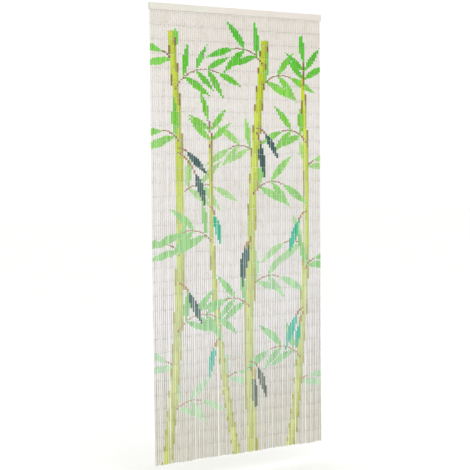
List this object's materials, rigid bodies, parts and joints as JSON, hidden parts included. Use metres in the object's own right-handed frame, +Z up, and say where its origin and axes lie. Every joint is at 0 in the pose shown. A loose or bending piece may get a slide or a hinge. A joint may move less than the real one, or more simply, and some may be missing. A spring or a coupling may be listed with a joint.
{
  "type": "bamboo bead door curtain with wooden top rail",
  "caption": "Doorway curtain of bamboo tube strings, joined end to end by wire eyes and hung side by side from a slim painted wooden rail.",
  "frame": {"origin": "middle of the rail's back face, which lies against the lintel over the doorway", "axes": "+X along the rail, +Y into the wall, -Y faces the room, +Z up"},
  "size_m": [0.9, 0.014, 2.003],
  "materials": {
    "painted_wood": "thin cream paint over planed wood, satin",
    "whitewashed_bamboo": "thin whitewash over bamboo with painted leaves, matt to satin",
    "steel_wire": "dull galvanised wire"
  },
  "bodies": {
    "root": {"rail": "painted_wood", "strands": "whitewashed_bamboo"}
  },
  "joints": []
}
